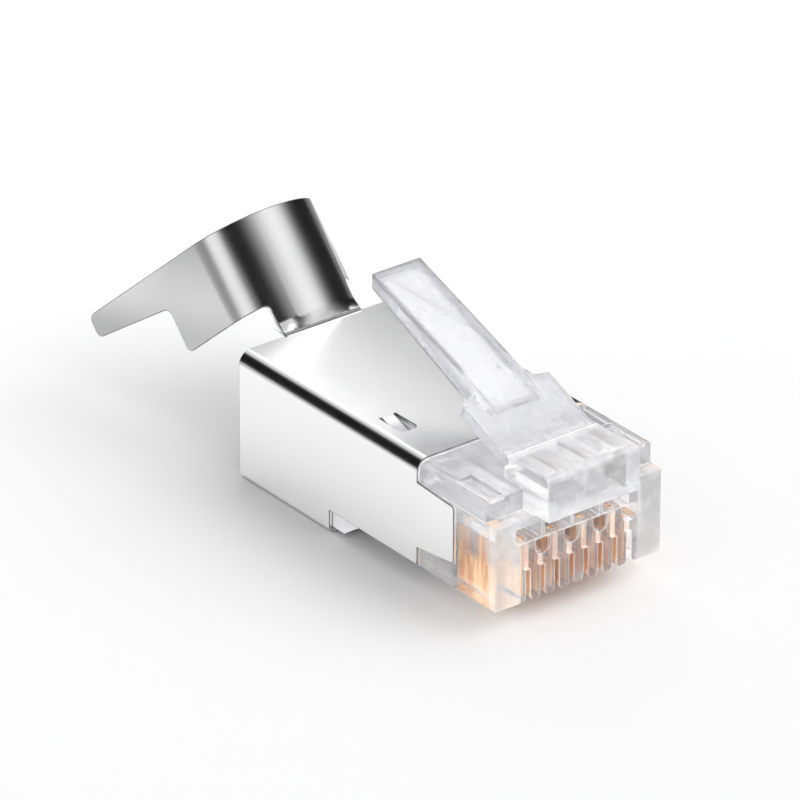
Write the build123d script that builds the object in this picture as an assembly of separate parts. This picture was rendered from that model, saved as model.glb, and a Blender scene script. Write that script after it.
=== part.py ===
from build123d import *
import os
from math import asin, cos, degrees, radians, sin, tan

# Shielded pass-through modular plug, 8 positions and 8 contacts, as sold before crimping.
# X runs across the plug, Y from the mating nose (-Y) to the cable end (+Y), Z up, millimetres.
# Heights below are above the underside of the nose. The rear of the shield hangs lower and
# carries the plug, and y = 0 is the front face of the two outer pillars. Every piece is moved
# when it is written: z = 0 is then the surface that the plug rests on, and the origin lies
# under the middle of the plug's whole length, on its centre line.

# Nose and body of the moulding
NOSE_WIDTH = 11.68
SHOULDER_HEIGHT = 5.23
BODY_HEIGHT = 6.53
SIDE_BLOCK_SETBACK = 0.94
SIDE_BLOCK_EDGE_RADIUS = 0.3
HOUSING_REAR = 22.7
RAMP_START = 12.3
RAMP_LENGTH = 1.5
RAMP_RADIUS = 0.6
NOSE_EDGE_RADIUS = 0.12

# Side block top recesses
RECESS_OUTER_MARGIN = 0.42
RECESS_WIDTH = 0.95
RECESS_LENGTH = 2.85
RECESS_DEPTH = 0.3
RECESS_FRONT_MARGIN = 0.14

# Latch root block on the front of the moulding
ROOT_WIDTH = 6.4
ROOT_OVERHANG = 1.27
ROOT_TOP_FRONT = 8.05
ROOT_TOP_REAR = 7.86
ROOT_FRONT_RADIUS = 0.5
ROOT_LOWER_RADIUS = 0.12
ROOT_EDGE_RADIUS = 0.12

# Latch
LATCH_HINGE_Y = 2.6
LATCH_KNUCKLE_RADIUS = 0.32
KNUCKLE_CLEARANCE = 0.05
LATCH_SLOPE_DEG = 24.2
LATCH_BEND_RADIUS = 2.0
LATCH_PLATE_WIDTH = 6.3
LATCH_PLATE_REAR = 6.65
LATCH_PLATE_REAR_LEAN = 0.21
LATCH_PLATE_TOP = 9.45
LATCH_PLATE_REAR_THICKNESS = 0.98
LATCH_CORNER_RADIUS = 0.4
LATCH_EDGE_CHAMFER = 0.06
LEVER_WIDTH = 3.44
LEVER_FRONT = 4.9
LEVER_FRONT_DEPTH = 0.33
LEVER_STEP_LENGTH = 0.4
LEVER_STEP_HEIGHT = 0.21
LEVER_RISE_START = 6.55
LEVER_HEEL_Z = 7.95
LEVER_TIP_Y = 16.4
LEVER_TIP_TOP = 12.97
LEVER_TIP_THICKNESS = 0.92
LEVER_ROOT_FILLET = 0.7
LEVER_CORNER_RADIUS = 0.15

# Contacts: 8 blades at the standard pitch
CONTACT_COUNT = 8
CONTACT_PITCH = 1.016
BLADE_THICKNESS = 0.3
BLADE_FRONT = 0.45
BLADE_REAR = 4.5
BLADE_PROUD = 0.22
BLADE_NOSE_RADIUS = 0.7
BLADE_PLATE_TOP = 1.85
TINE_COUNT = 3
TINE_WIDTH = 0.62
TINE_TIP_WIDTH = 0.16
TINE_POINT_LENGTH = 0.5
TINE_TIP_GAP = 0.06

# Contact slots, open to the underside and to the front
SLOT_CLEARANCE = 0.02
SLOT_FRONT_HEIGHT = 1.99
SLOT_END_CLEARANCE = 0.05
RIB_TIP_RADIUS = 0.31

# Wire channels, two staggered rows through the nose
LOW_CHANNEL_FLOOR = 2.7
LOW_CHANNEL_WIDTH = 1.06
LOW_CHANNEL_BOTTOM_SHARE = 0.46
HIGH_CHANNEL_FLOOR = 3.74
HIGH_CHANNEL_WIDTH = 1.84
CHANNEL_HEIGHT = 0.98
CHANNEL_CORNER_RADIUS = 0.15
CHANNEL_LENGTH = 7.2

# Cable cavity, open at the rear
CAVITY_SIDE_WALL = 0.95
CAVITY_TOP_WALL = 0.85
CAVITY_FLOOR_WALL = 0.8
CAVITY_CORNER_RADIUS = 0.6
FUNNEL_END = 14.6
FUNNEL_FRONT_HALF_WIDTH = 4.45
FUNNEL_FRONT_MARGIN = 0.1

# Shield: one folded sheet with a seam underneath
SHEET = 0.22
SHEET_CLEARANCE = 0.02
SHIELD_WIDTH = 11.97
SHIELD_TOP = 6.68
SHIELD_DROP = 1.31
SHIELD_TOP_BEND = 0.8
SHIELD_LOWER_BEND = 0.45
SHIELD_FRONT = 6.76
SHIELD_REAR = 23.04
SHIELD_STEP = 14.68
SHIELD_FRONT_EDGE = 0.15
SEAM_GAP = 0.14

# Side tongues of the shield
TONGUE_FRONT = 3.54
TONGUE_TOP_REAR = 5.31
TONGUE_TOP_FRONT = 5.13
TONGUE_LOWER_REAR = 1.23
TONGUE_LOWER_FRONT = 1.62
TONGUE_CORNER_RADIUS = 0.22

# Lanced barbs in the top of the shield
LANCE_X = 4.05
LANCE_WIDTH = 1.1
LANCE_FRONT = 9.85
LANCE_LENGTH = 2.05
LANCE_SIDE_GAP = 0.12
LANCE_ANGLE_DEG = 17.0
LANCE_CORNER_RADIUS = 0.3
LANCE_POCKET_MARGIN = 0.12

# Crimp tail of the shield, bent up from the rear edge and curled over
TAIL_ANGLE_DEG = 46.6
TAIL_BEND_RADIUS = 0.4
TAIL_FOLD_INSET = 0.05
TAIL_NECK_WIDTH = 5.4
TAIL_NECK_LENGTH = 2.24
TAIL_NECK_FLARE = 1.0
TAIL_NECK_CORNER_RADIUS = 0.33
TAIL_WING_WIDTH = 5.13
TAIL_CURL_RADIUS = 4.28
TAIL_CURL_DEG = 76.6
TAIL_CROWN_OFFSET = 0.5
WING_LEG_LENGTH = 3.9
WING_CORNER_RADIUS = 0.4
STRAP_LENGTH = 10.0
STRAP_ROOT_WIDTH = 2.3
STRAP_TIP_WIDTH = 1.42
STRAP_TIP_RADIUS = 0.45
STRAP_ROOT_FILLET = 0.55

# Worked-out places
SHEET_INSIDE = SHEET + SHEET_CLEARANCE
COVERED_HALF_WIDTH = SHIELD_WIDTH / 2 - SHEET_INSIDE
COVERED_TOP = SHIELD_TOP - SHEET_INSIDE
COVERED_BOTTOM = SHEET_INSIDE - SHIELD_DROP
SLOT_WIDTH = BLADE_THICKNESS + 2 * SLOT_CLEARANCE
LATCH_SLOPE = tan(radians(LATCH_SLOPE_DEG))
HINGE_Z = ROOT_TOP_REAR - LATCH_KNUCKLE_RADIUS
TAIL_FOLD_Y = SHIELD_REAR - TAIL_FOLD_INSET

# Aids: how far cuts reach past a surface, and what counts as an upright edge or as the same place
CUT_MARGIN = 1.0
UPRIGHT = 0.9
NEAR = 0.01


def face_of(*points):
    """Closed straight-sided face through the points."""
    return make_face(Polyline(*points, close=True))


def corner(face, x, y):
    """The vertex of a flat face nearest to a point."""
    return face.vertices().sort_by_distance((x, y, 0))[0]


def across(section, half_width):
    """Extrudes a (y, z) section to both sides of the centre line."""
    return extrude(Plane.YZ * section, amount=half_width, both=True)


def lengthwise(section, start, end):
    """Extrudes an (x, z) section from one y to another."""
    return Pos(0, start, 0) * extrude(Plane.XZ * section, amount=start - end)


def cuboid(x_range, y_range, z_range):
    """A box between three pairs of limits."""
    spans = (x_range, y_range, z_range)
    centre = [(low + high) / 2 for low, high in spans]
    size = [high - low for low, high in spans]
    return Pos(*centre) * Box(*size)


def rim_edges(solid, start, end):
    """Edges along the sides behind one y, and also those across the solid behind another."""
    edges = [edge for edge in solid.edges() if edge.center().Y > start]
    edges = [edge for edge in edges if abs(edge.tangent_at(0.5).Z) < UPRIGHT]
    return [edge for edge in edges if abs(edge.center().X) > NEAR or edge.center().Y > end]


def edges_at(solid, axis, place):
    """Edges whose middle lies at a place on an axis, on either side of zero."""
    return [edge for edge in solid.edges() if abs(abs(edge.center().dot(axis.direction)) - place) < NEAR]


def contact_x(index):
    """Centre of a contact, counted from 0 at the left as the nose is seen from its front."""
    return (index - (CONTACT_COUNT - 1) / 2) * CONTACT_PITCH


def is_high(index):
    """Odd wires run in the high row and even ones in the low row."""
    return index % 2 == 0


def channel_floor(index):
    return HIGH_CHANNEL_FLOOR if is_high(index) else LOW_CHANNEL_FLOOR


def ring_section(half_width, top, bottom, top_radius, lower_radius):
    """Rounded (x, z) section with larger corners at the top."""
    section = Pos(0, (top + bottom) / 2) * Rectangle(2 * half_width, top - bottom)
    section = fillet(section.vertices().group_by(Axis.Y)[-1], top_radius)
    return fillet(section.vertices().group_by(Axis.Y)[0], lower_radius)


def housing_side_section():
    """Side view of the moulding without its latch root, with the ramp down to the rear."""
    ramp_end = RAMP_START + RAMP_LENGTH
    section = face_of(
        (0, 0),
        (0, SHOULDER_HEIGHT),
        (SIDE_BLOCK_SETBACK, SHOULDER_HEIGHT),
        (SIDE_BLOCK_SETBACK, BODY_HEIGHT),
        (HOUSING_REAR, BODY_HEIGHT),
        (HOUSING_REAR, COVERED_BOTTOM),
        (ramp_end, COVERED_BOTTOM),
        (RAMP_START, 0),
    )
    section = fillet(corner(section, ramp_end, COVERED_BOTTOM), RAMP_RADIUS)
    return fillet(corner(section, RAMP_START, 0), RAMP_RADIUS)


def body_blank():
    """Nose at its full width, and the part inside the shield at the shield's inner size."""
    outline = across(housing_side_section(), NOSE_WIDTH / 2)
    top_edges = outline.edges().filter_by(Axis.Y).group_by(Axis.Z)[-1]
    outline = fillet(top_edges, SIDE_BLOCK_EDGE_RADIUS)
    block_front = edges_at(outline, Axis.Y, SIDE_BLOCK_SETBACK)
    block_front = [edge for edge in block_front if edge.center().Z > SHOULDER_HEIGHT + NEAR]
    outline = fillet(block_front, NOSE_EDGE_RADIUS)
    nose_edges = edges_at(outline, Axis.Y, 0)
    sides = edges_at(outline, Axis.X, NOSE_WIDTH / 2)
    for level in (0, SHOULDER_HEIGHT):
        nose_edges += [edge for edge in sides if abs(edge.center().Z - level) < NEAR]
    outline = fillet(nose_edges, NOSE_EDGE_RADIUS)
    nose_limit = cuboid(
        (-NOSE_WIDTH, NOSE_WIDTH),
        (-CUT_MARGIN, SHIELD_FRONT - SHEET_CLEARANCE),
        (-NOSE_WIDTH, NOSE_WIDTH),
    )
    covered = ring_section(
        COVERED_HALF_WIDTH,
        COVERED_TOP,
        COVERED_BOTTOM,
        SHIELD_TOP_BEND - SHEET_INSIDE,
        SHIELD_LOWER_BEND - SHEET_INSIDE,
    )
    covered_limit = lengthwise(covered, SHIELD_FRONT - SHEET_CLEARANCE, HOUSING_REAR)
    return (outline & nose_limit) + (outline & covered_limit)


def tongue_pockets():
    """Shallow side pockets in which the tongues of the shield lie flush."""
    gap = SHEET_CLEARANCE
    section = face_of(
        (SHIELD_FRONT, TONGUE_TOP_REAR + gap),
        (TONGUE_FRONT - gap, TONGUE_TOP_FRONT + gap),
        (TONGUE_FRONT - gap, TONGUE_LOWER_FRONT - gap),
        (SHIELD_FRONT, TONGUE_LOWER_REAR - gap),
    )
    return across(section, NOSE_WIDTH) - cuboid(
        (-COVERED_HALF_WIDTH, COVERED_HALF_WIDTH),
        (0, SHIELD_REAR),
        (-SHIELD_WIDTH, SHIELD_WIDTH),
    )


def latch_root():
    """Block that stands out past the pillars and carries the latch at its rear."""
    section = face_of(
        (-ROOT_OVERHANG, SHOULDER_HEIGHT),
        (-ROOT_OVERHANG, ROOT_TOP_FRONT),
        (LATCH_HINGE_Y, ROOT_TOP_REAR),
        (LATCH_HINGE_Y, SHOULDER_HEIGHT),
    )
    section = fillet(
        corner(section, -ROOT_OVERHANG, ROOT_TOP_FRONT), ROOT_FRONT_RADIUS
    )
    section = fillet(
        corner(section, -ROOT_OVERHANG, SHOULDER_HEIGHT), ROOT_LOWER_RADIUS
    )
    socket_radius = LATCH_KNUCKLE_RADIUS + KNUCKLE_CLEARANCE
    socket = Pos(LATCH_HINGE_Y, HINGE_Z) * Circle(socket_radius)
    root = across(section - socket, ROOT_WIDTH / 2)
    profile = edges_at(root, Axis.X, ROOT_WIDTH / 2)
    profile = [edge for edge in profile if edge.center().Z > SHOULDER_HEIGHT + NEAR]
    profile = [edge for edge in profile if edge.center().Y < LATCH_HINGE_Y - socket_radius]
    return fillet(profile, ROOT_EDGE_RADIUS)


def top_recess(side):
    """Longitudinal recess in the top of one side block."""
    outer = side * (NOSE_WIDTH / 2 - RECESS_OUTER_MARGIN)
    inner = outer - side * RECESS_WIDTH
    start = SIDE_BLOCK_SETBACK + RECESS_FRONT_MARGIN
    return cuboid(
        (min(outer, inner), max(outer, inner)),
        (start, start + RECESS_LENGTH),
        (BODY_HEIGHT - RECESS_DEPTH, BODY_HEIGHT + CUT_MARGIN),
    )


def slot_cut(index):
    """Slot of one contact: open to the front at the bottom and into its wire channel above."""
    half = SLOT_WIDTH / 2
    foot = half + RIB_TIP_RADIUS
    wall_left = Line((-half, SLOT_FRONT_HEIGHT), (-half, RIB_TIP_RADIUS))
    flare_left = RadiusArc((-half, RIB_TIP_RADIUS), (-foot, 0), RIB_TIP_RADIUS)
    base = Polyline((-foot, 0), (-foot, -CUT_MARGIN), (foot, -CUT_MARGIN), (foot, 0))
    flare_right = RadiusArc((foot, 0), (half, RIB_TIP_RADIUS), RIB_TIP_RADIUS)
    wall_right = Line((half, RIB_TIP_RADIUS), (half, SLOT_FRONT_HEIGHT))
    lid = Line((half, SLOT_FRONT_HEIGHT), (-half, SLOT_FRONT_HEIGHT))
    section = make_face([wall_left, flare_left, base, flare_right, wall_right, lid])
    rear = BLADE_REAR + SLOT_END_CLEARANCE
    mouth = lengthwise(section, -CUT_MARGIN, rear)
    shaft = cuboid(
        (-half, half),
        (BLADE_FRONT - SLOT_END_CLEARANCE, rear),
        (0, channel_floor(index) + CHANNEL_CORNER_RADIUS + SLOT_END_CLEARANCE),
    )
    return Pos(contact_x(index), 0, 0) * (mouth + shaft)


def channel_cut(index):
    """Wire channel of one contact: a round-bottomed low one or a wide flat high one."""
    floor = channel_floor(index)
    width = HIGH_CHANNEL_WIDTH if is_high(index) else LOW_CHANNEL_WIDTH
    section = Pos(0, floor + CHANNEL_HEIGHT / 2) * Rectangle(width, CHANNEL_HEIGHT)
    round_bottom = LOW_CHANNEL_BOTTOM_SHARE * LOW_CHANNEL_WIDTH
    bottom_radius = CHANNEL_CORNER_RADIUS if is_high(index) else round_bottom
    section = fillet(section.vertices().group_by(Axis.Y)[0], bottom_radius)
    section = fillet(section.vertices().group_by(Axis.Y)[-1], CHANNEL_CORNER_RADIUS)
    cut = lengthwise(section, -CUT_MARGIN, CHANNEL_LENGTH + CUT_MARGIN)
    return Pos(contact_x(index), 0, 0) * cut


def cable_cavity():
    """Cavity for the cable, with a funnel that leads the wires to their channels."""
    half_width = COVERED_HALF_WIDTH - CAVITY_SIDE_WALL
    ceiling = COVERED_TOP - CAVITY_TOP_WALL
    floor = COVERED_BOTTOM + CAVITY_FLOOR_WALL
    wide = ring_section(
        half_width, ceiling, floor, CAVITY_CORNER_RADIUS, CAVITY_CORNER_RADIUS
    )
    narrow = ring_section(
        FUNNEL_FRONT_HALF_WIDTH,
        HIGH_CHANNEL_FLOOR + CHANNEL_HEIGHT + FUNNEL_FRONT_MARGIN,
        LOW_CHANNEL_FLOOR - FUNNEL_FRONT_MARGIN,
        CAVITY_CORNER_RADIUS,
        CAVITY_CORNER_RADIUS,
    )
    funnel = loft(
        [
            Plane.XZ.offset(-CHANNEL_LENGTH) * narrow,
            Plane.XZ.offset(-FUNNEL_END) * wide,
        ],
        ruled=True,
    )
    return funnel + lengthwise(wide, FUNNEL_END, HOUSING_REAR + CUT_MARGIN)


def lance_pocket(side):
    """Pocket in the top of the moulding that takes one barb of the shield."""
    depth = LANCE_LENGTH * sin(radians(LANCE_ANGLE_DEG)) + SHEET
    half = LANCE_WIDTH / 2
    return cuboid(
        (side * LANCE_X - half, side * LANCE_X + half),
        (LANCE_FRONT, LANCE_FRONT + LANCE_LENGTH),
        (COVERED_TOP - depth - LANCE_POCKET_MARGIN, BODY_HEIGHT + CUT_MARGIN),
    )


def make_housing():
    body = body_blank() + latch_root()
    cuts = [tongue_pockets(), cable_cavity()]
    cuts += [top_recess(side) for side in (-1, 1)]
    cuts += [lance_pocket(side) for side in (-1, 1)]
    cuts += [slot_cut(index) for index in range(CONTACT_COUNT)]
    cuts += [channel_cut(index) for index in range(CONTACT_COUNT)]
    for cut in cuts:
        body -= cut
    return body


def plate_top(y):
    """Height of the plate's sloping top at a given y."""
    return LATCH_PLATE_TOP - LATCH_SLOPE * (LATCH_PLATE_REAR - y)


def latch_plate(low):
    """Wide plate of the latch, level at its hinge and then sloping up to its two locking shoulders."""
    radius = LATCH_KNUCKLE_RADIUS
    low_rear = LATCH_PLATE_REAR + LATCH_PLATE_REAR_LEAN
    bend = LATCH_PLATE_REAR - (LATCH_PLATE_TOP - ROOT_TOP_REAR) / LATCH_SLOPE
    reach = low_rear - LATCH_HINGE_Y
    drop = HINGE_Z - low
    run = (reach**2 + drop**2) ** 0.5
    low_slope = asin(radius / run) - asin(drop / run)
    section = face_of(
        (LATCH_HINGE_Y, ROOT_TOP_REAR),
        (bend, ROOT_TOP_REAR),
        (LATCH_PLATE_REAR, LATCH_PLATE_TOP),
        (low_rear, low),
        (LATCH_HINGE_Y + radius * sin(low_slope), HINGE_Z - radius * cos(low_slope)),
    )
    section = fillet(corner(section, bend, ROOT_TOP_REAR), LATCH_BEND_RADIUS)
    knuckle = Pos(LATCH_HINGE_Y, HINGE_Z) * Circle(radius)
    plate = across(section + knuckle, LATCH_PLATE_WIDTH / 2)
    sides = edges_at(plate, Axis.X, LATCH_PLATE_WIDTH / 2)
    plate = fillet([edge for edge in sides if edge.center().Y > LATCH_PLATE_REAR], LATCH_CORNER_RADIUS)
    rim = rim_edges(plate, LATCH_HINGE_Y + radius, LATCH_PLATE_REAR - NEAR)
    return chamfer(rim, LATCH_EDGE_CHAMFER)


def finger_lever():
    """Narrow lever that steps up from the plate and runs back to the finger tip."""
    step_end = LEVER_FRONT + LEVER_STEP_LENGTH
    section = face_of(
        (LEVER_FRONT, plate_top(LEVER_FRONT)),
        (step_end, plate_top(step_end) + LEVER_STEP_HEIGHT),
        (LEVER_RISE_START, plate_top(LEVER_RISE_START) + LEVER_STEP_HEIGHT),
        (LEVER_TIP_Y, LEVER_TIP_TOP),
        (LEVER_TIP_Y, LEVER_TIP_TOP - LEVER_TIP_THICKNESS),
        (LATCH_PLATE_REAR, LEVER_HEEL_Z),
        (LEVER_FRONT, plate_top(LEVER_FRONT) - LEVER_FRONT_DEPTH),
    )
    lever = across(section, LEVER_WIDTH / 2)
    tip_start = LEVER_TIP_Y - LEVER_CORNER_RADIUS
    tip_corners = [edge for edge in lever.edges().filter_by(Axis.Z) if edge.center().Y > tip_start]
    lever = fillet(tip_corners, LEVER_CORNER_RADIUS)
    rim = rim_edges(lever, LEVER_FRONT + LATCH_EDGE_CHAMFER, tip_start)
    return chamfer(rim, LATCH_EDGE_CHAMFER)


def lever_gussets(low):
    """Plan fillets where the lever leaves the rear edge of the plate."""
    radius = LEVER_ROOT_FILLET
    edge = LEVER_WIDTH / 2
    gusset = face_of(
        (0, LATCH_PLATE_REAR - radius),
        (edge + radius, LATCH_PLATE_REAR - radius),
        (edge + radius, LATCH_PLATE_REAR),
        (edge, LATCH_PLATE_REAR + radius),
        (0, LATCH_PLATE_REAR + radius),
    )
    gusset -= Pos(edge + radius, LATCH_PLATE_REAR + radius) * Circle(radius)
    gusset += mirror(gusset, Plane.YZ)
    side_view = face_of(
        (LATCH_PLATE_REAR - radius, plate_top(LATCH_PLATE_REAR - radius)),
        (LATCH_PLATE_REAR + radius, plate_top(LATCH_PLATE_REAR + radius)),
        (LATCH_PLATE_REAR + radius, low + LATCH_SLOPE * radius),
        (LATCH_PLATE_REAR - radius, low),
    )
    column = extrude(gusset, amount=LEVER_TIP_TOP)
    return column & across(side_view, LATCH_PLATE_WIDTH / 2)


def make_latch():
    """Springing latch in one moulding: its plate, its finger lever and the fillets between them."""
    low = LATCH_PLATE_TOP - LATCH_PLATE_REAR_THICKNESS
    return latch_plate(low) + finger_lever() + lever_gussets(low)


def make_contact(index):
    """Blade with a rounded mating edge below and piercing tines above."""
    tip = channel_floor(index) - TINE_TIP_GAP
    blade = face_of(
        (BLADE_FRONT, -BLADE_PROUD),
        (BLADE_FRONT, BLADE_PLATE_TOP),
        (BLADE_REAR, BLADE_PLATE_TOP),
        (BLADE_REAR, -BLADE_PROUD),
    )
    blade = fillet(corner(blade, BLADE_FRONT, -BLADE_PROUD), BLADE_NOSE_RADIUS)
    step = (BLADE_REAR - BLADE_FRONT - TINE_WIDTH) / (TINE_COUNT - 1)
    for number in range(TINE_COUNT):
        left = BLADE_FRONT + number * step
        inset = (TINE_WIDTH - TINE_TIP_WIDTH) / 2
        blade += face_of(
            (left, BLADE_PLATE_TOP - TINE_WIDTH),
            (left, tip - TINE_POINT_LENGTH),
            (left + inset, tip),
            (left + TINE_WIDTH - inset, tip),
            (left + TINE_WIDTH, tip - TINE_POINT_LENGTH),
            (left + TINE_WIDTH, BLADE_PLATE_TOP - TINE_WIDTH),
        )
    return Pos(contact_x(index), 0, 0) * across(blade, BLADE_THICKNESS / 2)


def shield_outline():
    """Side view of the shield: top, tongues, stepped lower edge."""
    high = SHIELD_TOP + CUT_MARGIN
    low = -SHIELD_DROP - CUT_MARGIN
    outline = face_of(
        (SHIELD_FRONT, high),
        (SHIELD_FRONT, TONGUE_TOP_REAR),
        (TONGUE_FRONT, TONGUE_TOP_FRONT),
        (TONGUE_FRONT, TONGUE_LOWER_FRONT),
        (SHIELD_FRONT, TONGUE_LOWER_REAR),
        (SHIELD_FRONT, SHIELD_FRONT_EDGE),
        (SHIELD_STEP, SHIELD_FRONT_EDGE),
        (SHIELD_STEP, low),
        (SHIELD_REAR, low),
        (SHIELD_REAR, high),
    )
    for point in ((TONGUE_FRONT, TONGUE_TOP_FRONT), (TONGUE_FRONT, TONGUE_LOWER_FRONT)):
        outline = fillet(corner(outline, *point), TONGUE_CORNER_RADIUS)
    return across(outline, SHIELD_WIDTH)


def shield_tube():
    outer = ring_section(
        SHIELD_WIDTH / 2, SHIELD_TOP, -SHIELD_DROP, SHIELD_TOP_BEND, SHIELD_LOWER_BEND
    )
    inner = ring_section(
        SHIELD_WIDTH / 2 - SHEET,
        SHIELD_TOP - SHEET,
        SHEET - SHIELD_DROP,
        SHIELD_TOP_BEND - SHEET,
        SHIELD_LOWER_BEND - SHEET,
    )
    tube = lengthwise(outer - inner, TONGUE_FRONT, SHIELD_REAR)
    seam = cuboid(
        (-SEAM_GAP / 2, SEAM_GAP / 2),
        (0, SHIELD_REAR + CUT_MARGIN),
        (-SHIELD_DROP - CUT_MARGIN, 0),
    )
    return (tube & shield_outline()) - seam


def lance_window(side):
    """Window left in the top of the shield by one barb."""
    window = Rectangle(LANCE_WIDTH, LANCE_LENGTH)
    window = fillet(window.vertices().group_by(Axis.Y)[0], LANCE_CORNER_RADIUS)
    cut = extrude(window, amount=2 * SHEET, both=True)
    return Pos(side * LANCE_X, LANCE_FRONT + LANCE_LENGTH / 2, SHIELD_TOP) * cut


def lance_tab(side):
    """Barb bent down into the moulding from the rear edge of its window."""
    slope = radians(LANCE_ANGLE_DEG)
    rear = LANCE_FRONT + LANCE_LENGTH
    length = LANCE_LENGTH - LANCE_SIDE_GAP
    tab = face_of(
        (rear + SHEET, SHIELD_TOP),
        (rear, SHIELD_TOP),
        (rear - length * cos(slope), SHIELD_TOP - length * sin(slope)),
        (rear - length * cos(slope), SHIELD_TOP - length * sin(slope) - SHEET / cos(slope)),
        (rear, SHIELD_TOP - SHEET),
        (rear + SHEET, SHIELD_TOP - SHEET),
    )
    half = LANCE_WIDTH / 2 - LANCE_SIDE_GAP
    return Pos(side * LANCE_X, 0, 0) * across(tab, half)


def tail_station(distance):
    """Plane across the tail, so far up from its fold: x across, y out of the convex side."""
    slope = radians(TAIL_ANGLE_DEG)
    up_tail = (0, cos(slope), sin(slope))
    origin = (0, TAIL_FOLD_Y + distance * up_tail[1], SHIELD_TOP + distance * up_tail[2])
    return Plane(origin=origin, x_dir=(1, 0, 0), z_dir=(0, -up_tail[1], -up_tail[2]))


def up_tail(section, start, length):
    """Extrudes a section of the tail along it."""
    return extrude(tail_station(start) * section, amount=-length)


def curl_point(radius, side):
    """End of the curl at one side, on its outer or inner radius."""
    curl = radians(TAIL_CURL_DEG)
    return (TAIL_CROWN_OFFSET + side * radius * sin(curl), radius * cos(curl) - TAIL_CURL_RADIUS)


def curl_section():
    """Section of the curled part of the wings: an arc of sheet about the crown."""
    outer, inner = TAIL_CURL_RADIUS, TAIL_CURL_RADIUS - SHEET
    return make_face(
        [
            ThreePointArc(curl_point(outer, -1), (TAIL_CROWN_OFFSET, 0), curl_point(outer, 1)),
            Line(curl_point(outer, 1), curl_point(inner, 1)),
            ThreePointArc(curl_point(inner, 1), (TAIL_CROWN_OFFSET, -SHEET), curl_point(inner, -1)),
            Line(curl_point(inner, -1), curl_point(outer, -1)),
        ]
    )


def leg_section(side):
    """Section of the straight leg that runs on from one end of the curl."""
    curl = radians(TAIL_CURL_DEG)
    length = WING_LEG_LENGTH if side > 0 else STRAP_LENGTH
    step = (side * length * cos(curl), -length * sin(curl))
    outer = curl_point(TAIL_CURL_RADIUS, side)
    inner = curl_point(TAIL_CURL_RADIUS - SHEET, side)
    return face_of(
        outer,
        (outer[0] + step[0], outer[1] + step[1]),
        (inner[0] + step[0], inner[1] + step[1]),
        inner,
    )


def tail_bend():
    """Bend that turns the top of the shield up into the tail."""
    slope = radians(TAIL_ANGLE_DEG)
    run = TAIL_BEND_RADIUS * tan(slope / 2)
    centre_y = TAIL_FOLD_Y - run
    centre_z = SHIELD_TOP + TAIL_BEND_RADIUS
    outer = TAIL_BEND_RADIUS + SHEET
    section = make_face(
        [
            ThreePointArc(
                (centre_y, centre_z - outer),
                (centre_y + outer * sin(slope / 2), centre_z - outer * cos(slope / 2)),
                (centre_y + outer * sin(slope), centre_z - outer * cos(slope)),
            ),
            Line(
                (centre_y + outer * sin(slope), centre_z - outer * cos(slope)),
                (centre_y + TAIL_BEND_RADIUS * sin(slope), centre_z - TAIL_BEND_RADIUS * cos(slope)),
            ),
            ThreePointArc(
                (centre_y + TAIL_BEND_RADIUS * sin(slope), centre_z - TAIL_BEND_RADIUS * cos(slope)),
                (
                    centre_y + TAIL_BEND_RADIUS * sin(slope / 2),
                    centre_z - TAIL_BEND_RADIUS * cos(slope / 2),
                ),
                (centre_y, centre_z - TAIL_BEND_RADIUS),
            ),
            Line((centre_y, centre_z - TAIL_BEND_RADIUS), (centre_y, centre_z - outer)),
        ]
    )
    return across(section, TAIL_NECK_WIDTH / 2)


def tail_neck():
    """Neck that runs from the straight fold into the curl of the wings."""
    start = TAIL_BEND_RADIUS * tan(radians(TAIL_ANGLE_DEG) / 2)
    half = TAIL_NECK_WIDTH / 2
    flat = Pos(0, -SHEET / 2) * Rectangle(TAIL_NECK_WIDTH, SHEET)
    radius, inner = TAIL_CURL_RADIUS, TAIL_CURL_RADIUS - SHEET

    def on_arc(size, x):
        return (x + TAIL_CROWN_OFFSET, (size**2 - x**2) ** 0.5 - radius)

    curled = make_face(
        [
            ThreePointArc(on_arc(radius, -half), on_arc(radius, 0), on_arc(radius, half)),
            Line(on_arc(radius, half), on_arc(inner, half)),
            ThreePointArc(on_arc(inner, half), on_arc(inner, 0), on_arc(inner, -half)),
            Line(on_arc(inner, -half), on_arc(radius, -half)),
        ]
    )
    flare = loft([tail_station(start) * flat, tail_station(TAIL_NECK_FLARE) * curled], ruled=True)
    return flare + curled_neck()


def curled_neck():
    """Upper stretch of the neck, curled as the wings are, with rounded corners where it meets them."""
    length = TAIL_NECK_LENGTH - TAIL_NECK_FLARE
    edges = (TAIL_CROWN_OFFSET - TAIL_NECK_WIDTH / 2, TAIL_CROWN_OFFSET + TAIL_NECK_WIDTH / 2)
    room = 2 * TAIL_NECK_CORNER_RADIUS
    outline = face_of(
        (edges[0], TAIL_NECK_FLARE),
        (edges[0], TAIL_NECK_LENGTH),
        (edges[0] - room, TAIL_NECK_LENGTH),
        (edges[0] - room, TAIL_NECK_LENGTH + room),
        (edges[1] + room, TAIL_NECK_LENGTH + room),
        (edges[1] + room, TAIL_NECK_LENGTH),
        (edges[1], TAIL_NECK_LENGTH),
        (edges[1], TAIL_NECK_FLARE),
    )
    for edge in edges:
        outline = fillet(corner(outline, edge, TAIL_NECK_LENGTH), TAIL_NECK_CORNER_RADIUS)
    foot = tail_station(0)
    plan = Plane(origin=foot.origin, x_dir=foot.x_dir, z_dir=foot.z_dir.cross(foot.x_dir))
    trim = extrude(plan * outline, amount=2 * TAIL_CURL_RADIUS, both=True)
    return trim & up_tail(curl_section(), TAIL_NECK_FLARE, length)


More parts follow.
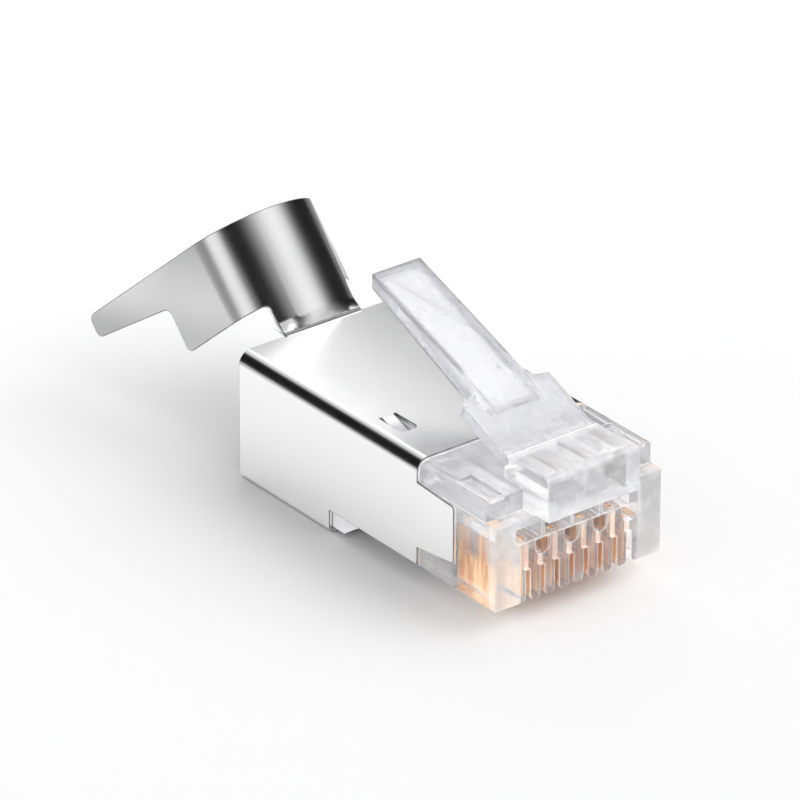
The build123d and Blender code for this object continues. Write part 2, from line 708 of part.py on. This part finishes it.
def leg_trim(side):
    """Solid that keeps one leg of the wings within its outline, drawn on the plane of that leg."""
    curl = radians(TAIL_CURL_DEG)
    outer_x = TAIL_CROWN_OFFSET + side * TAIL_CURL_RADIUS * sin(curl)
    outer_y = TAIL_CURL_RADIUS * cos(curl) - TAIL_CURL_RADIUS
    plane = tail_station(0)
    up = plane.z_dir * -1
    down = plane.x_dir * (side * cos(curl)) + plane.y_dir * (-sin(curl))
    origin = plane.origin + plane.x_dir * outer_x + plane.y_dir * outer_y
    leg_plane = Plane(origin=origin, x_dir=down, z_dir=down.cross(up))
    low, high = TAIL_NECK_LENGTH, TAIL_NECK_LENGTH + TAIL_WING_WIDTH
    if side > 0:
        outline = face_of(
            (0, low), (WING_LEG_LENGTH, low), (WING_LEG_LENGTH, high), (0, high)
        )
        for level in (low, high):
            outline = fillet(corner(outline, WING_LEG_LENGTH, level), WING_CORNER_RADIUS)
    else:
        strap_root = high - STRAP_ROOT_WIDTH
        strap_tip = high - STRAP_TIP_WIDTH
        outline = face_of(
            (0, low),
            (WING_LEG_LENGTH, low),
            (WING_LEG_LENGTH, strap_root),
            (STRAP_LENGTH, strap_tip),
            (STRAP_LENGTH, high),
            (0, high),
        )
        outline = fillet(corner(outline, WING_LEG_LENGTH, low), WING_CORNER_RADIUS)
        outline = fillet(corner(outline, WING_LEG_LENGTH, strap_root), STRAP_ROOT_FILLET)
        outline = fillet(corner(outline, STRAP_LENGTH, strap_tip), STRAP_TIP_RADIUS)
        outline = fillet(corner(outline, STRAP_LENGTH, high), STRAP_TIP_RADIUS)
    return extrude(leg_plane * outline, amount=2 * SHEET, both=True)


def crimp_tail():
    tail = tail_bend() + tail_neck() + up_tail(curl_section(), TAIL_NECK_LENGTH, TAIL_WING_WIDTH)
    for side in (-1, 1):
        leg = up_tail(leg_section(side), TAIL_NECK_LENGTH, TAIL_WING_WIDTH)
        tail += leg & leg_trim(side)
    return tail


def make_shield():
    shield = shield_tube()
    for side in (-1, 1):
        shield = shield - lance_window(side) + lance_tab(side)
    return shield + crimp_tail()


def write_parts(pieces):
    """Writes each piece, moved so that the plug's middle stands over the origin."""
    boxes = [piece.bounding_box() for piece in pieces.values()]
    front = min(box.min.Y for box in boxes)
    rear = max(box.max.Y for box in boxes)
    seat = Pos(0, -(front + rear) / 2, SHIELD_DROP)
    os.makedirs("parts", exist_ok=True)
    for name, piece in pieces.items():
        export_step(seat * piece, os.path.join("parts", name + ".step"))


plug = {"housing": make_housing(), "latch": make_latch(), "shield": make_shield()}
for contact in range(CONTACT_COUNT):
    plug["contact_" + str(contact + 1)] = make_contact(contact)
write_parts(plug)
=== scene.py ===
import math

import bmesh
import bpy
from mathutils import Matrix, Vector


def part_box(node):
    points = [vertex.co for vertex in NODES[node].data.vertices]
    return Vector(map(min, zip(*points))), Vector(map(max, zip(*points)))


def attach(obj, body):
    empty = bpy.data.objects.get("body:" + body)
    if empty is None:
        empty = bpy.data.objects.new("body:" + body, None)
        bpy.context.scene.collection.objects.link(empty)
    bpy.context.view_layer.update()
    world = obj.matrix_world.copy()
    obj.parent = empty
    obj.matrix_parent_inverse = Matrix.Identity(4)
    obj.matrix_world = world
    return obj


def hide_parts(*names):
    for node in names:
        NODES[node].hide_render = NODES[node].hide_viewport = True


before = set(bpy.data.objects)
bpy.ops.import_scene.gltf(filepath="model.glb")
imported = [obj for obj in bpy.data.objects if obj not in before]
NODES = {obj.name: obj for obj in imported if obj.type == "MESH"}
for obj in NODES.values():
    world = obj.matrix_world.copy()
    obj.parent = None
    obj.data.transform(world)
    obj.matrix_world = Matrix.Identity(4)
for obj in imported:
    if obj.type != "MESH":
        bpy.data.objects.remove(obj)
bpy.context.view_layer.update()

MM = 0.001

# Meshes: what is welded, what counts as flat or as a crisp edge, and how edges are rounded.
# The contacts are widened on each side, so that they touch the walls of their slots.
WELD = 1e-7
FLAT_ANGLE = math.radians(0.4)
CRISP_ANGLE = math.radians(32)
ROUNDING_STEPS = 2
SHEET_ROUNDING = 0.05 * MM
CONTACT_ROUNDING = 0.03 * MM
CONTACT_WIDENING = 0.03 * MM

# Camera that matches the photograph: distances in metres, lens and sensor in millimetres
VIEW_AZIMUTH = math.radians(37.989)
VIEW_ELEVATION = math.radians(27.715)
VIEW_ROLL = math.radians(0.146)
VIEW_DISTANCE = 0.4209
VIEW_TARGET = Vector((-0.004658, -0.008047, 0.009954))
VIEW_CLIP = (0.02, 20)
LENS = 344.59
SENSOR = 36.0

# Ray limits, high enough for light to get through every wall of the clear moulding
CLEAR_BOUNCES = 40
GLOSSY_BOUNCES = 16
DIFFUSE_BOUNCES = 6

# Limits for a ray's count of bounces or walls, halfway between whole numbers
NONE_YET = 0.5
ONE_AT_MOST = 1.5
TWO_AT_MOST = 2.5

# Layers of detail in a noise, and rays that look for an edge near a point
SOFT_LAYERS = 2
FINE_LAYERS = 3
EDGE_RAYS = 4

# Light on what is matt or clear: a pale tent, with a stronger patch overhead at the front right.
# The tent is brighter through clear plastic, and brightest after several walls.
TENT = 0.73
TENT_THROUGH = 1.2
TENT_DEEP = 3.3
PATCH = 2.0
PATCH_TO = Vector((0.38, -0.55, 0.75)).normalized()
PATCH_COSINES = (0.72, 0.95)

# What polished surfaces mirror: dark flags, a soft box overhead in front, which fades out to the
# right, and glows. A glow has a direction, the cosines between which it rises, and a level.
FLAG = 0.008
BOX = 1.05
BOX_TO = Vector((0.27, -0.595, 0.755)).normalized()
BOX_START_COSINE = 0.55
BOX_POWER = 2.5
BOX_FADE_X = (0.90, 0.50)
RIGHT = Vector((1, 0, 0))
GLOWS = (
    (Vector((-0.98, 0.0, 0.17)).normalized(), (0.945, 0.99), 1.05),
    (Vector((0.20, 0.70, 0.68)).normalized(), (0.90, 0.985), 0.85),
)

# Card behind the plug that its flat top mirrors: the card's near edge is seen along a line on
# the top, at this X
CARD_REACH = 90 * MM
CARD_EDGE_X = 1.3 * MM
CARD_WIDTH = 42 * MM
CARD_LENGTH = 66 * MM
CARD_TO = Vector((0.545, 0.698, 0.465)).normalized()
CARD_RADIANCE = 1.17
TOP_Z = 8 * MM
TOP_MIDDLE_Y = -3 * MM

# Soft fill lamps for the clear moulding alone: where from, and how bright
FILL_MIDDLE = Vector((0, -14 * MM, 6 * MM))
FILL_REACH = 150 * MM
FILL_SIZE = 60 * MM
FILLS = (
    (Vector((0.545, -0.464, 0.697)).normalized(), 2.2),
    (Vector((-0.90, -0.12, 0.42)).normalized(), 6.5),
)

# Floor: pale; painted reflections for the metal, in darker and lighter rings by radius in mm and
# level
FLOOR_SIZE = 4.0
FLOOR_PALE = (0.81, 0.81, 0.815, 1)
FLOOR_PAINTED_REFLECTIONS = (
    (28, 0.93), (31, 0.06), (36, 0.32), (41, 1.0), (51, 1.0),
    (54, 0.24), (60, 0.14), (80, 0.26), (165, 0.20),
)
FLOOR_PAINTED_REFLECTIONS_REACH = 200 * MM

# Plated sheet: a fine grain in the surface and wide clouds in its gloss
SHEET_COLOUR = (0.87, 0.87, 0.875, 1)
GRAIN_SCALE = 9000
GRAIN_DEPTH = 0.02 * MM
GRAIN_STRENGTH = 0.05
CLOUD_SCALE = 260
CLOUD_LIMITS = (0.3, 0.7)
SHEET_ROUGHNESS = (0.22, 0.25)

# Rounding on the sheet's cut edges: painted shade, a dark outline, mottled at random between a
# dark and a lighter grey
CUT_SHADE_DARK = (0.18, 0.18, 0.185, 1)
CUT_SHADE_LIGHT = (0.32, 0.32, 0.325, 1)
CUT_METALLIC = 0.6
CUT_ROUGHNESS = 0.45
MOTTLE_SCALE = 1800
MOTTLE_LIMITS = (0.35, 0.65)

# Contacts: copper with streaks of gold, drawn out along the blade's height
COPPER = (0.72, 0.33, 0.15, 1)
GOLD = (1.0, 0.68, 0.38, 1)
CONTACT_METALLIC = 0.25
CONTACT_ROUGHNESS = 0.35
STREAK_SCALE = 2600
STREAK_STRETCH = (1, 1, 0.12)
STREAK_LIMITS = (0.38, 0.62)

# Zones of the plastic, each between two limits. It is clear round the contacts and in the side
# windows, and milky above, beside and behind them.
CONTACT_TOP = (4.5 * MM, 5.3 * MM)
RIBS_HALF_WIDTH = (3.95 * MM, 4.25 * MM)
WINDOW_FRONT = (-17.6 * MM, -17.3 * MM)
WINDOW_REAR = (-14.5 * MM, -14.0 * MM)
SHIELD_FRONT = (-11.5 * MM, -10.5 * MM)
LEVER_START = (-10.2 * MM, -9.4 * MM)

# Share of light that the plastic lets through: clear, milky, and factors on it in some zones
HOUSING_COLOUR = (0.965, 0.965, 0.975, 1)
HOUSING_CLEAR = 0.96
HOUSING_MILKY = 0.79
HOUSING_HAZE = 0.09
# The latch's plastic is a greyer copy of the housing's, which paints shade on the lever
LATCH_SHADED_COLOUR = (0.80, 0.80, 0.825, 1)
LATCH_CLEAR = 0.80
LATCH_HAZE = 0.06
UNDER_SHIELD_SHARE = 0.3
RIBS_SHARE = 0.90
NOSE_SHARE = 0.80
PLASTIC_IOR = 1.45

# Haze in the plastic: mottles drawn out along the plug, which also vary its gloss
HAZE_SCALE = 900
HAZE_STRETCH = (1, 0.4, 1)
HAZE_LIMITS = (0.46, 0.68)
GLOSS_LIMITS = (0.4, 0.7)
PLASTIC_ROUGHNESS = (0.05, 0.12)

# Edges of the plastic: frosted, and wider round the lever, where a dark grey paints shade as an
# outline
FROST_REACH = 0.09 * MM
FROST_TURN = (0.02, 0.14)
FROST = 0.9
OUTLINE_REACH = 0.5 * MM
OUTLINE_TURN = (0.006, 0.09)
OUTLINE_SHADE_COLOUR = (0.22, 0.22, 0.23, 1)


class Graph:
    """A material's or world's node tree, written one node at a time."""

    def __init__(self, tree):
        self.tree = tree
        tree.nodes.clear()

    def node(self, kind, inputs=None, **settings):
        made = self.tree.nodes.new(kind)
        for name, value in settings.items():
            setattr(made, name, value)
        for name, value in (inputs or {}).items():
            if isinstance(value, bpy.types.NodeSocket):
                self.tree.links.new(value, made.inputs[name])
            else:
                made.inputs[name].default_value = value
        return made

    def place(self):
        """Place of the point in its piece's own frame, which is the whole plug's frame."""
        return self.node("ShaderNodeTexCoord").outputs["Object"]

    def stretched(self, vector, scale):
        return self.node("ShaderNodeMapping", {"Vector": vector, "Scale": scale}).outputs[0]

    def noise(self, vector, scale, detail):
        inputs = {"Vector": vector, "Scale": scale, "Detail": detail}
        return self.node("ShaderNodeTexNoise", inputs).outputs["Fac"]

    def math(self, operation, *values, clamp=False):
        inputs = dict(enumerate(values))
        return self.node("ShaderNodeMath", inputs, operation=operation, use_clamp=clamp).outputs[0]

    def times(self, value, *factors):
        for factor in factors:
            value = self.math("MULTIPLY", value, factor)
        return value

    def dot(self, first, second):
        made = self.node("ShaderNodeVectorMath", {0: first, 1: second}, operation="DOT_PRODUCT")
        return made.outputs["Value"]

    def smooth(self, value, start, end, low=0.0, high=1.0):
        """Low up to the start, high from the end on, and a smooth step in between."""
        inputs = {
            "Value": value, "From Min": start, "From Max": end, "To Min": low, "To Max": high,
        }
        made = self.node("ShaderNodeMapRange", inputs, interpolation_type="SMOOTHSTEP")
        return made.outputs[0]

    def blend(self, factor, first, second):
        """Blend of two values: sockets 2 and 3 are a Mix node's values, output 0 the result."""
        return self.node("ShaderNodeMix", {0: factor, 2: first, 3: second}).outputs[0]

    def blend_colours(self, factor, first, second):
        """Blend of two colours: sockets 6 and 7 are a Mix node's colours, output 2 the result."""
        made = self.node("ShaderNodeMix", {0: factor, 6: first, 7: second}, data_type="RGBA")
        return made.outputs[2]

    def near_edge(self, radius, start, end):
        """1 within about the radius of a crisp edge, 0 on flat and gently curved faces."""
        rounded = self.node("ShaderNodeBevel", {"Radius": radius}, samples=EDGE_RAYS)
        normal = self.node("ShaderNodeNewGeometry").outputs["Normal"]
        along = self.math("ABSOLUTE", self.dot(rounded.outputs[0], normal))
        return self.smooth(self.math("SUBTRACT", 1.0, along), start, end)

    def first_mirror(self):
        """1 for a ray off one mirroring surface, 0 for any ray that has passed clear plastic."""
        path = self.node("ShaderNodeLightPath").outputs
        once = self.math("LESS_THAN", path["Glossy Depth"], ONE_AT_MOST)
        outside = self.math("LESS_THAN", path["Transmission Depth"], NONE_YET)
        glossy, through = path["Is Glossy Ray"], path["Is Transmission Ray"]
        mirrored = self.math("SUBTRACT", glossy, through, clamp=True)
        return self.times(mirrored, once, outside)


def add_object(name, data):
    made = bpy.data.objects.new(name, data)
    bpy.context.scene.collection.objects.link(made)
    return made


def make_camera():
    """Camera at the photograph's viewing angle; azimuth 0 looks along +Y."""
    azimuth, elevation, roll = VIEW_AZIMUTH, VIEW_ELEVATION, VIEW_ROLL
    back = Vector((
        -math.sin(azimuth) * math.cos(elevation),
        -math.cos(azimuth) * math.cos(elevation),
        math.sin(elevation),
    ))
    right = Vector((math.cos(azimuth), -math.sin(azimuth), 0))
    up = back.cross(right)
    x_axis = right * math.cos(roll) + up * math.sin(roll)
    y_axis = up * math.cos(roll) - right * math.sin(roll)
    data = bpy.data.cameras.new("view")
    data.lens = LENS
    data.sensor_width = SENSOR
    data.clip_start, data.clip_end = VIEW_CLIP
    matrix = Matrix((x_axis, y_axis, back)).transposed().to_4x4()
    matrix.translation = VIEW_TARGET + back * VIEW_DISTANCE
    camera = add_object("view", data)
    camera.matrix_world = matrix
    bpy.context.scene.camera = camera


def tent_light(graph, direction):
    """Strength of the pale tent, with its patch, as matt and clear surfaces see it."""
    patch = graph.smooth(graph.dot(direction, PATCH_TO), *PATCH_COSINES, 0.0, PATCH)
    path = graph.node("ShaderNodeLightPath").outputs
    walls = graph.math("GREATER_THAN", path["Transmission Depth"], TWO_AT_MOST)
    scattered = graph.math("GREATER_THAN", path["Diffuse Depth"], NONE_YET)
    deep = graph.math("MAXIMUM", walls, scattered)
    clear = graph.blend(deep, TENT_THROUGH, TENT_DEEP)
    level = graph.blend(path["Is Transmission Ray"], TENT, clear)
    return graph.math("ADD", level, patch)


def mirrored_light(graph, direction):
    """Strength of what polished surfaces mirror: flags, the soft box and the glows."""
    reach = graph.math("SUBTRACT", graph.dot(direction, BOX_TO), BOX_START_COSINE)
    reach = graph.math("DIVIDE", reach, 1.0 - BOX_START_COSINE, clamp=True)
    box = graph.math("POWER", reach, BOX_POWER)
    box = graph.times(box, graph.smooth(graph.dot(direction, RIGHT), *BOX_FADE_X))
    mirrored = graph.math("MULTIPLY_ADD", box, BOX, FLAG)
    for towards, cosines, level in GLOWS:
        glow = graph.smooth(graph.dot(direction, towards), *cosines, 0.0, level)
        mirrored = graph.math("ADD", mirrored, glow)
    return mirrored


def make_world():
    """Soft studio: a pale tent, and dark flags with a few lights where metal mirrors it."""
    world = bpy.data.worlds.new("studio")
    bpy.context.scene.world = world
    world.use_nodes = True
    world.cycles.sampling_method = "NONE"
    graph = Graph(world.node_tree)
    direction = graph.node("ShaderNodeTexCoord").outputs["Generated"]
    tent = tent_light(graph, direction)
    mirrored = mirrored_light(graph, direction)
    strength = graph.blend(graph.first_mirror(), tent, mirrored)
    inputs = {"Color": (1, 1, 1, 1), "Strength": strength}
    background = graph.node("ShaderNodeBackground", inputs)
    graph.node("ShaderNodeOutputWorld", {"Surface": background.outputs[0]})


def add_area_light(name, data, matrix, middle):
    """Area light that the camera doesn't see, also not through the plastic."""
    light = add_object(name, data)
    matrix.translation = middle
    light.matrix_world = matrix
    light.visible_camera = False
    light.visible_transmission = False
    return light


def make_card():
    """Soft light behind the plug, with its long edges along the plug, seen in the flat top."""
    along = Vector((0, 1, 0))
    rise = CARD_TO.cross(along).normalized()
    near_edge = Vector((CARD_EDGE_X, TOP_MIDDLE_Y, TOP_Z)) + CARD_TO * CARD_REACH
    data = bpy.data.lights.new("card", "AREA")
    data.shape = "RECTANGLE"
    data.size = CARD_WIDTH
    data.size_y = CARD_LENGTH
    data.energy = CARD_RADIANCE * math.pi * CARD_WIDTH * CARD_LENGTH
    matrix = Matrix((-rise, along, along.cross(rise))).transposed().to_4x4()
    add_area_light("card", data, matrix, near_edge + rise * CARD_WIDTH / 2)


def make_fills(piece):
    """Lamps at the front right and on the left that light only this piece."""
    lit = bpy.data.collections.new("lit_by_fills")
    lit.objects.link(piece)
    for number, (towards, radiance) in enumerate(FILLS):
        name = "fill_%d" % number
        data = bpy.data.lights.new(name, "AREA")
        data.size = FILL_SIZE
        data.energy = radiance * math.pi * FILL_SIZE ** 2
        matrix = towards.to_track_quat("Z", "Y").to_matrix().to_4x4()
        lamp = add_area_light(name, data, matrix, FILL_MIDDLE + towards * FILL_REACH)
        lamp.light_linking.receiver_collection = lit


def make_floor():
    """Plain pale floor; mirror images in metal show painted reflections, rings in its colour."""
    mesh = bpy.data.meshes.new("floor")
    size = FLOOR_SIZE
    corners = [(-size, -size, 0), (size, -size, 0), (size, size, 0), (-size, size, 0)]
    mesh.from_pydata(corners, [], [(0, 1, 2, 3)])
    material, graph = new_material("pale_floor")
    length = graph.node("ShaderNodeVectorMath", {0: graph.place()}, operation="LENGTH")
    distance = graph.math("DIVIDE", length.outputs["Value"], FLOOR_PAINTED_REFLECTIONS_REACH)
    rings = graph.node("ShaderNodeValToRGB", {"Fac": distance})
    stops = rings.color_ramp.elements
    while len(stops) < len(FLOOR_PAINTED_REFLECTIONS):
        stops.new(1.0)
    for stop, (radius, level) in zip(stops, FLOOR_PAINTED_REFLECTIONS):
        stop.position = radius * MM / FLOOR_PAINTED_REFLECTIONS_REACH
        stop.color = (level, level, level, 1)
    # painted reflection: rays off metal see the rings in place of the pale colour
    colour = graph.blend_colours(graph.first_mirror(), FLOOR_PALE, rings.outputs["Color"])
    finish_material(graph, "ShaderNodeBsdfDiffuse", {"Color": colour})
    mesh.materials.append(material)
    floor = add_object("floor", mesh)


def new_material(name):
    material = bpy.data.materials.new(name)
    material.use_nodes = True
    return material, Graph(material.node_tree)


def finish_material(graph, kind, inputs):
    shader = graph.node(kind, inputs)
    graph.node("ShaderNodeOutputMaterial", {"Surface": shader.outputs[0]})


def plated_sheet():
    """Bright plated sheet with a very fine grain."""
    material, graph = new_material("plated_sheet")
    where = graph.place()
    grain = graph.noise(where, GRAIN_SCALE, FINE_LAYERS)
    bump = graph.node("ShaderNodeBump", {
        "Strength": GRAIN_STRENGTH, "Distance": GRAIN_DEPTH, "Height": grain,
    })
    cloud = graph.noise(where, CLOUD_SCALE, SOFT_LAYERS)
    finish_material(graph, "ShaderNodeBsdfPrincipled", {
        "Base Color": SHEET_COLOUR,
        "Metallic": 1.0,
        "Roughness": graph.smooth(cloud, *CLOUD_LIMITS, *SHEET_ROUGHNESS),
        "Normal": bump.outputs[0],
    })
    return material


def shaded_cut_edge():
    """Rounding on the punched edges of the sheet: painted shade, a dark grey outline, duller than
    the faces.
    """
    material, graph = new_material("shaded_cut_edge")
    mottle = graph.noise(graph.place(), MOTTLE_SCALE, SOFT_LAYERS)
    mottle = graph.smooth(mottle, *MOTTLE_LIMITS)
    finish_material(graph, "ShaderNodeBsdfPrincipled", {
        "Base Color": graph.blend_colours(mottle, CUT_SHADE_DARK, CUT_SHADE_LIGHT),
        "Metallic": CUT_METALLIC,
        "Roughness": CUT_ROUGHNESS,
    })
    return material


def copper_contact():
    """Copper blade with upright streaks of a gold flash."""
    material, graph = new_material("gold_contact")
    drawn = graph.stretched(graph.place(), STREAK_STRETCH)
    streaks = graph.noise(drawn, STREAK_SCALE, FINE_LAYERS)
    streaks = graph.smooth(streaks, *STREAK_LIMITS)
    finish_material(graph, "ShaderNodeBsdfPrincipled", {
        "Base Color": graph.blend_colours(streaks, COPPER, GOLD),
        "Metallic": CONTACT_METALLIC,
        "Roughness": CONTACT_ROUGHNESS,
    })
    return material


def zoned_share(graph, at, clear, milky, covered):
    """Share of light let through, by zone: the clear one, or the milky one outside it."""
    beside = graph.smooth(graph.math("ABSOLUTE", at["X"]), *RIBS_HALF_WIDTH)
    behind = graph.smooth(at["Y"], *WINDOW_REAR)
    ahead = graph.smooth(at["Y"], *WINDOW_FRONT, 1.0, 0.0)
    above = graph.smooth(at["Z"], *CONTACT_TOP)
    outside = graph.times(beside, graph.math("MAXIMUM", ahead, behind))
    outside = graph.math("MAXIMUM", outside, above)
    return graph.times(
        graph.blend(outside, clear, milky),
        graph.smooth(at["Y"], *SHIELD_FRONT, 1.0, covered),
        graph.smooth(beside, 0.0, 1.0, RIBS_SHARE, 1.0),
        graph.smooth(graph.times(ahead, beside), 0.0, 1.0, 1.0, NOSE_SHARE),
    )


def moulded_plastic(name, colour, clear, milky, haziness, covered=1.0, shade_outlined=False):
    """Clear moulded plastic with zones, haze and frosted edges.

    The share under the shield is multiplied by covered. The lever's plastic can have painted
    shade on its edges: a dark grey outline."""
    material, graph = new_material(name)
    where = graph.place()
    at = graph.node("ShaderNodeSeparateXYZ", {"Vector": where}).outputs
    edge = graph.times(graph.near_edge(FROST_REACH, *FROST_TURN), FROST)
    if shade_outlined:
        lever = graph.smooth(at["Y"], *LEVER_START)
        # painted shade: a dark grey outline on the lever's edges
        outline = graph.times(graph.near_edge(OUTLINE_REACH, *OUTLINE_TURN), lever)
        colour = graph.blend_colours(outline, colour, OUTLINE_SHADE_COLOUR)
        edge = graph.times(edge, graph.math("SUBTRACT", 1.0, lever))
        edge = graph.math("MAXIMUM", edge, outline)
    haze = graph.noise(graph.stretched(where, HAZE_STRETCH), HAZE_SCALE, FINE_LAYERS)
    share = zoned_share(graph, at, clear, milky, covered)
    share = graph.math("SUBTRACT", share, graph.smooth(haze, *HAZE_LIMITS, 0.0, haziness))
    share = graph.times(share, graph.math("SUBTRACT", 1.0, edge))
    finish_material(graph, "ShaderNodeBsdfPrincipled", {
        "Base Color": colour,
        "Roughness": graph.smooth(haze, *GLOSS_LIMITS, *PLASTIC_ROUGHNESS),
        "IOR": PLASTIC_IOR,
        "Transmission Weight": share,
    })
    return material


def refined_mesh(node, name, widening):
    """The CAD node's own mesh, welded, with whole flat faces and its crisp edges marked.

    Widening moves the left and right half of the mesh apart, along X."""
    mesh = bpy.data.meshes.new(name)
    work = bmesh.new()
    work.from_mesh(NODES[node].data)
    bmesh.ops.remove_doubles(work, verts=work.verts, dist=WELD)
    bmesh.ops.dissolve_limit(work, angle_limit=FLAT_ANGLE, verts=work.verts, edges=work.edges)
    if widening:
        low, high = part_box(node)
        middle = (low.x + high.x) / 2
        for vertex in work.verts:
            vertex.co.x += math.copysign(widening, vertex.co.x - middle)
    for face in work.faces:
        face.smooth = True
    for edge in work.edges:
        edge.smooth = edge.calc_face_angle(0.0) < CRISP_ANGLE
    work.to_mesh(mesh)
    work.free()
    return mesh


def round_edges(piece, width, slot):
    """Round the crisp edges, with the material of this slot on the rounding."""
    rounding = piece.modifiers.new("edges", "BEVEL")
    rounding.limit_method = "ANGLE"
    rounding.angle_limit = CRISP_ANGLE
    rounding.width = width
    rounding.segments = ROUNDING_STEPS
    rounding.use_clamp_overlap = False
    rounding.loop_slide = False
    rounding.harden_normals = True
    rounding.material = slot


def refined(node, body, materials, rounding=0.0, widening=0.0):
    """The CAD node's own mesh as a clean piece, with rounded edges, in place of the node."""
    name = node + "_skin"
    mesh = refined_mesh(node, name, widening)
    for material in materials:
        mesh.materials.append(material)
    piece = add_object(name, mesh)
    if rounding:
        round_edges(piece, rounding, len(materials) - 1)
    shading = piece.modifiers.new("shading", "WEIGHTED_NORMAL")
    shading.keep_sharp = True
    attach(piece, body)
    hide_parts(node)
    return piece


def make_pieces():
    refined("shield", "plug_body", [plated_sheet(), shaded_cut_edge()], SHEET_ROUNDING)
    housing = refined("housing", "plug_body", [moulded_plastic(
        "clear_plastic", HOUSING_COLOUR, HOUSING_CLEAR, HOUSING_MILKY, HOUSING_HAZE,
        covered=UNDER_SHIELD_SHARE,
    )])
    make_fills(housing)
    # Latch: a greyer copy of the housing's plastic as painted shade, and painted shade on the
    # lever's edges
    refined("latch", "latch_lever", [moulded_plastic(
        "shaded_frosted_plastic", LATCH_SHADED_COLOUR, LATCH_CLEAR, LATCH_CLEAR, LATCH_HAZE, shade_outlined=True,
    )])
    contact = [copper_contact()]
    for name in sorted(NODES):
        if name.startswith("contact"):
            refined(name, "plug_body", contact, CONTACT_ROUNDING, CONTACT_WIDENING)


def set_rendering():
    scene = bpy.context.scene
    scene.view_settings.view_transform = "Standard"
    scene.cycles.max_bounces = CLEAR_BOUNCES
    scene.cycles.transmission_bounces = CLEAR_BOUNCES
    scene.cycles.glossy_bounces = GLOSSY_BOUNCES
    scene.cycles.diffuse_bounces = DIFFUSE_BOUNCES


make_camera()
make_world()
make_floor()
make_card()
make_pieces()
set_rendering()
